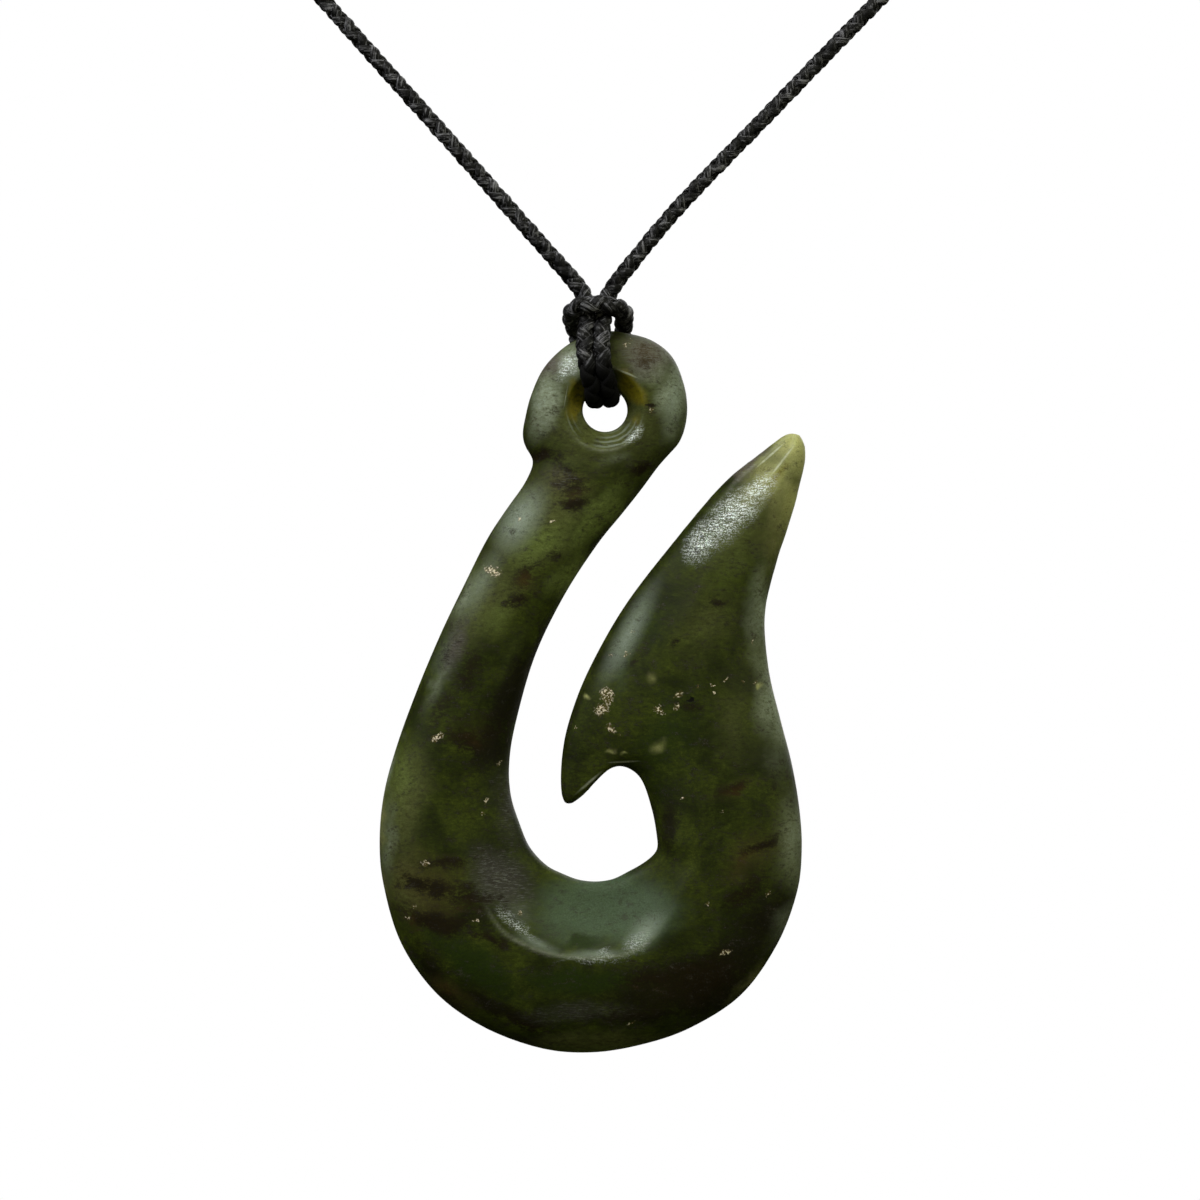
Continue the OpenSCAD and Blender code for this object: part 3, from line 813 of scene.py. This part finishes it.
# Painted honey glow where the wall of the hole and the tip let light through
HONEY_WALL_GLOW = [
    (-3, 0.9, 2.6, 1.2, 82, 1), (2.9, 2.2, 3.2, 1.5, -52, 1), (2.9, -1.2, 1.6, 0.9, 60, 0.4),
    (17, -6.6, 3.6, 1, 55, 0.5),
]
# Violet haze on scuffed skin, and painted sheen beside the highlights on the head and shank
VIOLET_HAZE_AND_SHEEN = [
    (-14.8, -23.5, 4, 2, 64, 0.7), (3.9, 5.2, 4, 2.8, -25, 1), (-5.2, 4.6, 3, 1.5, 58, 0.9),
    (-4.5, -7.2, 3, 2, 30, 0.5), (-2.2, -19.6, 4, 1, 60, 0.3), (14.6, -5.4, 4.6, 1.1, 47, 1),
]
# Grey haze on scuffed skin, and a painted reflection of the floor along the bottom
GREY_HAZE_AND_REFLECTION = [
    (-10.4, -46.8, 5.6, 3.6, -42, 1), (-9.8, -39.5, 5.5, 2, 95, 0.7), (-2.5, -60, 10, 1.7, 2, 0.5),
    (-15, -24.5, 5, 1.6, 64, 0.5),
]
stains_glow_and_hazes = BROWN_WASH + BROWN_STAIN + RED_STAIN + YELLOW_SPOTS_AND_GLOW + HONEY_WALL_GLOW + VIOLET_HAZE_AND_SHEEN + GREY_HAZE_AND_REFLECTION
print("spots of stains and hazes", len(stains_glow_and_hazes))

# %% [markdown]
# ## Flecks and worked places
#
# Cream flecks lie near the barb and singly elsewhere. The carver's hand shows in the rings that the
# burr left in the dishes, in crisp pale lines and in rubbed places, which also carry painted
# highlights.

# %% Spots of flecks and worked places
CREAM_FLECK = [
    (0.2, -28.5, 1.1, 0.8, -70, 1), (-0.3, -29.9, 1.0, 0.7, 20, 1),
    (0.6, -31.8, 0.8, 0.45, -50, 0.9), (5.3, -29.9, 0.8, 0.45, -40, 0.9),
    (7.3, -28.4, 0.6, 0.35, 30, 1), (7.1, -29.6, 0.6, 0.4, 60, 0.8), (9.2, -27.6, 0.2, 0.2, 0, 1),
    (10.7, -27.5, 0.24, 0.2, 0, 1), (10.9, -28.1, 0.2, 0.2, 0, 1), (12, -26.9, 0.32, 0.2, 40, 1),
    (13.7, -27.1, 0.22, 0.2, 0, 1), (15, -27.2, 0.3, 0.25, 0, 0.7),
    (14.7, -23.1, 0.3, 0.2, 40, 0.7), (2.7, -22.1, 0.3, 0.16, 30, 1), (2.2, -24.4, 0.3, 0.25, 0, 1),
    (0.7, -24.5, 0.2, 0.15, 0, 0.8), (-2.9, -31.7, 0.25, 0.2, 0, 0.9),
    (-11.2, -16.1, 1.2, 0.6, -20, 0.8), (-5.2, -11.2, 0.5, 0.16, 10, 0.9),
    (-8.5, -10.9, 0.5, 0.2, 60, 0.5), (-16.7, -32.7, 0.9, 0.4, 35, 0.9),
    (-10.5, -35.2, 0.45, 0.16, 40, 0.7), (-11.8, -39.1, 0.5, 0.18, 60, 0.8),
    (-12.1, -40.1, 0.3, 0.2, 30, 0.8), (-17.8, -45.1, 0.4, 0.35, 0, 0.8),
    (-19, -49.4, 0.3, 0.25, 0, 0.8), (-19.8, -50.6, 0.5, 0.2, 0, 0.7),
    (-12.8, -50.7, 0.35, 0.2, 0, 0.8), (-8.4, -50.1, 0.3, 0.25, 0, 0.8),
    (12, -54, 0.8, 0.25, 10, 0.9), (16.2, -48.2, 0.6, 0.2, 60, 0.8), (2.7, -61, 0.6, 0.16, 20, 0.6),
    (7.7, -38.7, 0.2, 0.2, 0, 0.8), (11.7, -40, 0.22, 0.2, 0, 0.7),
    (10.1, -49.1, 0.25, 0.25, 0, 0.8), (4.6, -0.15, 0.4, 0.12, 50, 0.8),
    (2.1, 6.4, 0.35, 0.22, 30, 0.9), (2.6, 6.9, 0.2, 0.15, 0, 0.8), (1.4, -32.4, 0.2, 0.2, 0, 0.7),
]
DARK_PIT = [(8.5, -28.9, 0.5, 0.28, 35, 1)]
# Where the burr's rings show; they are painted lighter where the dish catches the light
DISH_RINGS_AND_HIGHLIGHT = [(1.7, -2.9, 4.2, 1.7, 24, 1), (-3.4, -1.6, 2.4, 1, -60, 0.5)]
# Crisp pale lines: painted highlights on the point's ridges and the dish's rim, worn edges at the
# notch
CRISP_LINE = [
    (16.5, -4.55, 2.5, 0.17, 41, 1), (17.6, -5.2, 3.1, 0.17, 52, 1), (2.2, 3.5, 1.6, 0.16, -23, 1),
    (-1.6, -37.2, 2.8, 0.26, 41, 0.6), (1.9, -35.1, 2.2, 0.17, 3, 0.7),
    (-3.9, 1.2, 2, 0.1, 80, 0.5),
]
# Rubbed places, each with a painted highlight where it catches the light
SATIN_RUB_AND_HIGHLIGHT = [
    (12.5, -11, 5.8, 2.2, 44, 1), (15.2, -8.2, 3.6, 1.5, 45, 1), (10.2, -13.6, 3.4, 1.9, 50, 1),
    (3.2, -52.9, 2.8, 1, 42, 0.4), (-1.4, -54.4, 4.5, 0.5, 1, 0.35),
    (-8.8, -51.1, 3.6, 0.9, -38, 0.5), (-3.7, 4, 2.2, 1.3, 55, 1), (2.5, -2.8, 1.9, 0.7, 42, 0.8),
    (0, -3.8, 2.2, 0.4, 0, 0.15),
]
small_spots = CREAM_FLECK + DARK_PIT + DISH_RINGS_AND_HIGHLIGHT + CRISP_LINE + SATIN_RUB_AND_HIGHLIGHT
print("spots of flecks and worked places", len(small_spots))

# %% [markdown]
# ## Places and noises
#
# The object's own place is first counted in millimetres from the hole's middle. Two warped copies
# let the spots drift. Four noises, from wide clouds to fine grain, are shared by all layers, so
# that the colours and the polish belong together.

# %% Places and noises in the stone
stone = Finish(
    "greenstone", IOR=1.55, Specular_IOR_Level=0.1, Subsurface_Weight=0.1, Subsurface_Scale=0.0015,
    Subsurface_Radius=(0.6, 1.0, 0.2),
)
object_place = stone.node("ShaderNodeTexCoord", output=3)
from_hole = tuple(-v / MM for v in BORE)
stone_place = stone.vector("MULTIPLY_ADD", object_place, (1 / MM, 1 / MM, 1 / MM), from_hole)


def warped(place, scale, drift, detail):
    """A place that noise moves about, by up to half the drift."""
    inputs = {"Vector": place, "Scale": scale, "Detail": detail}
    colours = stone.node("ShaderNodeTexNoise", inputs=inputs, output=1)
    centred = stone.vector("SUBTRACT", colours, (0.5, 0.5, 0.5))
    return stone.vector("MULTIPLY_ADD", centred, (drift, drift, drift), place)


cloud_place = warped(stone_place, 0.25, 3.4, 4)
fleck_place = warped(stone_place, 2.6, 1, 3)
streaked_place = stone.stretched(stone_place, (0.65, 1, 1.3))
clouds = stone.noise(stone_place, 0.2, 7, 0.65, 0.5)
wisps = stone.noise(streaked_place, 0.8, 6, 0.68, 0.5)
specks = stone.noise(streaked_place, 2.6, 5, 0.72, 0.3)
grain = stone.noise(stone_place, 7, 3, 0.75)
ragged_edge = wisps * 0.5 + specks * 0.3 + grain * 0.2 - 0.5
stone.tell("places and noises")

# %% [markdown]
# ## Paint with spots
#
# The spots of a layer are soft balls, stretched and turned, of which the strongest counts. Noise is
# added before the mask is made, so it frays their edges. A mottle multiplies the colour and so
# keeps its hue, which a coat of paint wouldn't.

# %% Paint with spots
BALL_DEPTH = 100


def spots(table, place):
    """The strongest of a table's soft spots, from 0 to 1."""
    total = None
    for x, z, length, width, tilt, strength in table:
        inputs = {
            "Vector": place, "Location": (x, 0, z), "Rotation": (0, math.radians(-tilt), 0),
            "Scale": (length, BALL_DEPTH, width),
        }
        placed = stone.node("ShaderNodeMapping", {"vector_type": "TEXTURE"}, inputs)
        settings = {"gradient_type": "SPHERICAL"}
        ball = stone.node("ShaderNodeTexGradient", settings, {"Vector": placed}, output=1)
        spot = ball * strength
        total = spot if total is None else total.most(spot)
    return total


def paint(under, over, table, ragged, low, high, strength=1.0, place=cloud_place):
    """The colour under, with another over it where a table's spots lie."""
    mask = (spots(table, place) + ragged_edge * ragged).rise(low, high)
    return stone.mix(under, over, mask * strength)


def mottled(under, pattern, dark, light):
    """A colour that is darker where a pattern is above zero and lighter where it is below."""
    under = stone.mix(under, dark, pattern.rise(0.0, 0.3), "MULTIPLY")
    return stone.mix(under, light, (0 - pattern).rise(0.0, 0.3), "MULTIPLY")


print("spots reach", BALL_DEPTH, "mm each way in depth")

# %% [markdown]
# ## Greens of the stone
#
# The mottle and the short brown dashes come before the last three layers, because the body is
# cloudy while the jade, the deep green and the painted sheen are clear.

# %% Greens of the stone
DARK_OLIVE, OLIVE = (0.011, 0.0155, 0.0008, 1), (0.032, 0.043, 0.003, 1)
colour = stone.mix(DARK_OLIVE, OLIVE, clouds.rise(0.35, 0.68))
# Light olive and leaf green, painted lighter on the rims, the shank's right edge and bottom rim
colour = paint(colour, (0.062, 0.071, 0.019, 1), LIGHT_OLIVE_AND_PAINTED_LIGHT, 0.75, 0.05, 0.85)
colour = paint(colour, (0.086, 0.112, 0.025, 1), BRIGHT_GREEN_AND_PAINTED_LIGHT, 0.75, 0.05, 0.85)
colour = paint(colour, (0.006, 0.005, 0.0004, 1), SHADE, 1.2, 0.1, 0.65, 0.9)
# Pale bloom, partly painted sheen and reflections
colour = paint(colour, (0.225, 0.265, 0.185, 1), PALE_BLOOM_AND_SHEEN, 0.85, 0.1, 0.95, 0.85)
mottle = (wisps - 0.5) * 1.0 + (specks - 0.5) * 1.3
colour = mottled(colour, mottle, (0.56, 0.53, 0.46, 1), (1.34, 1.34, 1.48, 1))
dash_place = stone.stretched(stone_place, (0.45, 1, 2))
dashes = stone.noise(dash_place, 1.9, 4, 0.7, 0.3).rise(0.53, 0.66)
colour = stone.mix(colour, (0.42, 0.36, 0.26, 1), dashes * 0.35, "MULTIPLY")
# The jade scoop is painted paler where it catches the light
colour = paint(colour, (0.054, 0.083, 0.045, 1), JADE_AND_SCOOP_LIGHT, 0.6, 0.05, 0.6, 0.9)
colour = paint(colour, (0.011, 0.022, 0.0006, 1), DEEP_GREEN, 1.0, 0.1, 0.7, 0.85)
# Painted sheen of the soft boxes on the rounded rims
colour = paint(colour, (0.215, 0.262, 0.208, 1), PAINTED_SHEEN, 0.5, 0.0, 1.1, 0.85, stone_place)
stone.tell("greens")

# %% [markdown]
# ## Stains of the stone
#
# The yellow glow comes first and is painted light. The browns are painted with a high ragged
# number, so that each spot breaks up into dashes. The hazes, which also hold painted sheen and a
# painted reflection, are kept as masks too, because the skin is scratched there. A fine pepper
# goes over it all.

# %% Stains of the stone
# Painted yellow glow of light through the tip and the hole's wall, and some along the bottom rim
colour = paint(colour, (0.42, 0.43, 0.165, 1), YELLOW_SPOTS_AND_GLOW, 0.7, 0.0, 1.0, 0.9)
colour = paint(colour, (0.15, 0.13, 0.006, 1), HONEY_WALL_GLOW, 0.7, 0.1, 0.6, 0.95)
# Violet haze, partly painted sheen
haze_and_sheen = (spots(VIOLET_HAZE_AND_SHEEN, cloud_place) + ragged_edge).rise(0.1, 0.85)
colour = stone.mix(colour, (0.084, 0.066, 0.062, 1), haze_and_sheen * 0.75)
# Grey haze, with a painted floor reflection along the bottom
grey_haze_and_reflection = (spots(GREY_HAZE_AND_REFLECTION, cloud_place) + ragged_edge * 0.8).rise(0.05, 0.8)
colour = stone.mix(colour, (0.043, 0.040, 0.036, 1), grey_haze_and_reflection * 0.75)
colour = paint(colour, (0.055, 0.047, 0.012, 1), BROWN_WASH, 1.2, 0.1, 0.9, 0.6)
colour = paint(colour, (0.0085, 0.0056, 0.0004, 1), BROWN_STAIN, 3.8, 0.0, 0.75, 1.0)
colour = paint(colour, (0.044, 0.026, 0.004, 1), RED_STAIN, 3.4, 0.15, 0.9, 0.55)
pepper = (specks - 0.5) * 1.1 + (grain - 0.5) * 1.6
colour = mottled(colour, pepper, (0.8, 0.78, 0.72, 1), (1.2, 1.2, 1.24, 1))
stone.tell("stains_glow_and_hazes")

# %% [markdown]
# ## Rubbed and worn places
#
# A rub leaves fine scratches: a noise with one direction squeezed seven times. The rubbed places
# get a painted highlight with painted silver sparkle. The burr's rings are a sine of the distance
# from the hole's middle, made uneven by the wisps, and painted lighter where the dish catches
# the light. The wisps also break up the pale lines of the ridges, which are wear and painted
# highlight.

# %% Rubbed and worn places
# Radians of the burr's wave in a millimetre
BURR_RATE = 13
scratch_place = stone.stretched(stone_place, (1, 1, 7), (0, math.radians(35), 0))
scratches = stone.noise(scratch_place, 1.3, 4, 0.75)
scored = scratches.rise(0.52, 0.6) * haze_and_sheen.most(grey_haze_and_reflection)
colour = stone.mix(colour, (0.13, 0.14, 0.12, 1), scored * 0.55)

in_plane = stone.vector("MULTIPLY", stone_place, (1, 0, 1))
hole_away = stone.vector("LENGTH", in_plane, output=1)
burr_wave = stone.node(
    "ShaderNodeMath", {"operation": "SINE"}, {0: hole_away * BURR_RATE + wisps * 5}
)
in_dish = 1 - hole_away.rise(3.7, 4.3)
# The burr's rings, painted lighter as a highlight where the dish catches the light
burr_rings_and_highlight = (burr_wave * 0.5 + wisps).rise(0.3, 1.1) * in_dish
burr_rings_and_highlight = burr_rings_and_highlight * spots(DISH_RINGS_AND_HIGHLIGHT, stone_place).rise(0.0, 0.7)
colour = stone.mix(colour, (0.34, 0.40, 0.33, 1), burr_rings_and_highlight * 0.33)

# Rubbed places, painted near white as a highlight with painted silver sparkle
rub_and_highlight = (spots(SATIN_RUB_AND_HIGHLIGHT, cloud_place) + ragged_edge * 0.8).rise(0.0, 1.0)
painted_sparkle = (scratches * 0.45 + grain * 0.55).rise(0.485, 0.565)
colour = stone.mix(colour, (0.91, 1, 1, 1), rub_and_highlight * (0.06 + painted_sparkle * 1.0))

# Pale ridge lines: wear, and a painted highlight where the ridges catch the light
pale_ridge_mask = stone.node("ShaderNodeAttribute", {"attribute_name": "pale_ridges"}, output=2)
crisp = spots(CRISP_LINE, stone_place).rise(0.1, 0.7)
pale_line = (pale_ridge_mask * 0.3).most(crisp) * (0.35 + wisps.rise(0.4, 0.6) * 0.35 + painted_sparkle * 0.3)
colour = stone.mix(colour, (0.56, 0.60, 0.47, 1), pale_line.clipped() * 0.75)
stone.tell("rubbed and worn places")

# %% [markdown]
# ## Flecks
#
# A fleck is a nest of cream crumbs in a brown bed, so one noise sets both how much of it shows and
# how light it is. Flecks and one dark pit lie on top of everything, and the colour is finished.

# %% Flecks and pit
crumbs = (stone.noise(stone_place, 5, 2, 0.6) * 0.6 + specks * 0.4).rise(0.49, 0.57)
nest = spots(CREAM_FLECK, fleck_place).rise(0.05, 0.5)
fleck = nest * (0.4 + crumbs * 0.6)
fleck_colour = stone.mix((0.11, 0.075, 0.025, 1), (0.66, 0.59, 0.45, 1), crumbs)
colour = stone.mix(colour, fleck_colour, fleck)
pit = spots(DARK_PIT, fleck_place).rise(0.15, 0.4)
colour = stone.mix(colour, (0.002, 0.002, 0.001, 1), pit)
stone.shine("Base_Color", colour)
stone.tell("flecks")

# %% [markdown]
# ## Polish of the stone
#
# Hand polish is uneven, so the same noises vary the roughness, and the rubbed places are glossier.
# Two bumps lie on one another: the low waves that sanding leaves, and then the scratches, grain,
# burr rings and flecks, which are finer than any mesh could hold.

# %% Polish of the stone
WAVE_DEPTH, SCRATCH_DEPTH = 0.05 * MM, 0.022 * MM
roughness = 0.6 - rub_and_highlight * 0.28 + (clouds - 0.5) * 0.4 + (wisps - 0.5) * 0.25 + (grain - 0.5) * 0.2
stone.shine("Roughness", roughness)
hand_waves = stone.bump(stone.noise(stone_place, 0.45, 4, 0.55), WAVE_DEPTH, 0.6)
relief = scratches * (0.4 + rub_and_highlight * 2.4 + haze_and_sheen) + grain * (0.4 + rub_and_highlight * 2.4)
relief = relief + burr_wave * in_dish * 0.35 + fleck * 0.5 - pit * 2
stone.shine("Normal", stone.bump(relief, SCRATCH_DEPTH, 1.0, hand_waves))
stone.tell("polish")

# %% [markdown]
# ## Black braid
#
# Waxed fibre is black with a soft grey shine that breaks up on single fibres, and that shine is
# painted into the colour with the grey fibres. They run along each strand, so the pattern follows
# the strand's UV map, and two noises add fuzz and patches of wax. Where the cord goes into the
# stone's hole, painted shade leaves it plain black, with no grey, and it is rougher there.

# %% Black braid
FIBRE_DEPTH = 0.09 * MM
# Middle of the painted shade where the cord goes into the hole, and where it fades out
HOLE_SHADE_MIDDLE = (-0.0003, -0.1235, -0.1048)
HOLE_SHADE_NEAR, HOLE_SHADE_FAR = 3 * MM, 5.4 * MM
black_braid = Finish("black_braid", Specular_IOR_Level=0.15)
strand_uv = black_braid.node("ShaderNodeUVMap", {"uv_map": "strand"})
fibres = black_braid.noise(black_braid.stretched(strand_uv, (12, 0.8, 1)), 1.0, 4, 0.7, 0.4)
cord_place = black_braid.node("ShaderNodeTexCoord", output=3)
fuzz = black_braid.noise(cord_place, 2600, 2, 0.6)
wax = black_braid.noise(cord_place, 600, 3, 0.6)
# Grey fibres with painted shine, and painted shade that keeps them black near the hole
shown = (fibres.rise(0.51, 0.61) * 0.8 + fuzz.rise(0.55, 0.7) * 0.4) * wax.rise(0.35, 0.55)
hole_shade_away = black_braid.vector("SUBTRACT", cord_place, HOLE_SHADE_MIDDLE)
outside_hole_shade = black_braid.vector("LENGTH", hole_shade_away, output=1).rise(HOLE_SHADE_NEAR, HOLE_SHADE_FAR)
BRAID_BLACK, FIBRE_GREY_AND_SHINE = (0.001, 0.001, 0.0012, 1), (0.175, 0.175, 0.192, 1)
black_braid.shine("Base_Color", black_braid.mix(BRAID_BLACK, FIBRE_GREY_AND_SHINE, shown * outside_hole_shade))
black_braid.shine("Roughness", 0.75 - outside_hole_shade * 0.35 + fibres * 0.25)
black_braid.shine("Normal", black_braid.bump(fibres + fuzz * 0.4, FIBRE_DEPTH, 1.0))
black_braid.tell("braid")

# %% [markdown]
# ## Put the pieces in the frame
#
# Each piece gets its finish, rides on the part's one body, and hides the CAD solid it stands for.

# %% Ride and replace
for piece, finish, slot, node in (
    (carved_hook, stone, "greenstone", "hook"),
    (braid_hitch, black_braid, "black_braid", "cord_hitch"),
    (braid_left, black_braid, "black_braid", "cord_left"),
    (braid_right, black_braid, "black_braid", "cord_right"),
    (nape_wrap, black_braid, "black_braid", "nape_knot"),
):
    piece.data.materials.clear()
    piece.data.materials.append(finish.material)
    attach(piece, "root")
    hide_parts(node)
    print(piece.name, "stands for", node)

# %% [markdown]
# ## Floor
#
# The floor is plain and pale, and glows evenly, as lit studio paper does. It throws no light on the
# stone, or the dark greens would turn grey.

# %% Floor
FLOOR_Z, FLOOR_RADIUS, FLOOR_SIDES = -0.42, 1.6, 128
deselect()
bpy.ops.mesh.primitive_circle_add(
    vertices=FLOOR_SIDES, radius=FLOOR_RADIUS, fill_type="NGON", location=(0, 0, FLOOR_Z)
)
floor = bpy.context.object
floor.name = "floor"
floor_paint = Finish(
    "floor_paint", Base_Color=(0.1, 0.1, 0.1, 1), Roughness=1.0, Specular_IOR_Level=0.0,
    Emission_Color=(1, 1, 1, 1), Emission_Strength=0.96,
)
floor.data.materials.append(floor_paint.material)
floor.visible_diffuse = floor.visible_glossy = floor.visible_shadow = False
print("floor", round(-FLOOR_Z / MM), "mm below the nape")

# %% [markdown]
# ## Light
#
# The photo's soft highlights lie on the upper left, so the key is a big soft box on that side.
# Weaker ones stand above, to the right and behind, and a small one low in front lifts the
# underside. Little light comes from the camera, so the front stays deep green.

# %% Light


def soft_light(name, toward, away, size, radiance, colour=(1, 1, 1)):
    """A square soft box of a given brightness, aimed at the stone from a direction."""
    box = bpy.data.lights.new(name, "AREA")
    box.shape, box.size = "SQUARE", size
    box.energy = radiance * math.pi * size * size
    box.color = colour
    direction = Vector(toward).normalized()
    lamp = add_object(name, box)
    lamp.location = VIEW_MIDDLE + direction * away
    lamp.rotation_euler = direction.to_track_quat("Z", "Y").to_euler()
    print(name, round(box.energy, 2), "W")


soft_light("key_box", (-0.6, -0.48, 0.64), 1.0, 0.6, 7.7)
soft_light("top_box", (-0.1, -0.42, 0.9), 1.0, 0.9, 2, (1, 1, 0.85))
soft_light("right_box", (0.85, -0.5, 0.3), 1.2, 0.8, 3, (1, 1, 0.75))
soft_light("low_box", (-0.1, -0.85, -0.52), 0.45, 0.15, 1.4, (1, 0.97, 0.5))
soft_light("back_box", (0.45, 0.8, 0.45), 1.2, 1, 3)

# %% [markdown]
# ## White ground
#
# The photo's white ground throws no light on the stone. So the world is white where the camera sees
# it, and dim and slightly yellow where it lights the pieces, whose shadows have hardly any blue.

# %% White ground
AMBIENT_COLOUR, AMBIENT_STRENGTH = (1, 1, 0.7, 1), 0.04
bpy.context.scene.view_settings.view_transform = "Standard"
world = bpy.data.worlds.new("studio")
world.use_nodes = True
bpy.context.scene.world = world
world_tree = world.node_tree
ambient = world_tree.nodes["Background"]
ambient.inputs["Color"].default_value = AMBIENT_COLOUR
ambient.inputs["Strength"].default_value = AMBIENT_STRENGTH
ground = world_tree.nodes.new("ShaderNodeBackground")
ground.inputs["Color"].default_value = (1, 1, 1, 1)
rays = world_tree.nodes.new("ShaderNodeLightPath")
choice = world_tree.nodes.new("ShaderNodeMixShader")
surface = world_tree.nodes["World Output"].inputs["Surface"]
for start, end in (
    (rays.outputs["Is Camera Ray"], choice.inputs[0]), (ambient.outputs[0], choice.inputs[1]),
    (ground.outputs[0], choice.inputs[2]), (choice.outputs[0], surface),
):
    world_tree.links.new(start, end)
print("world nodes", len(world_tree.nodes))
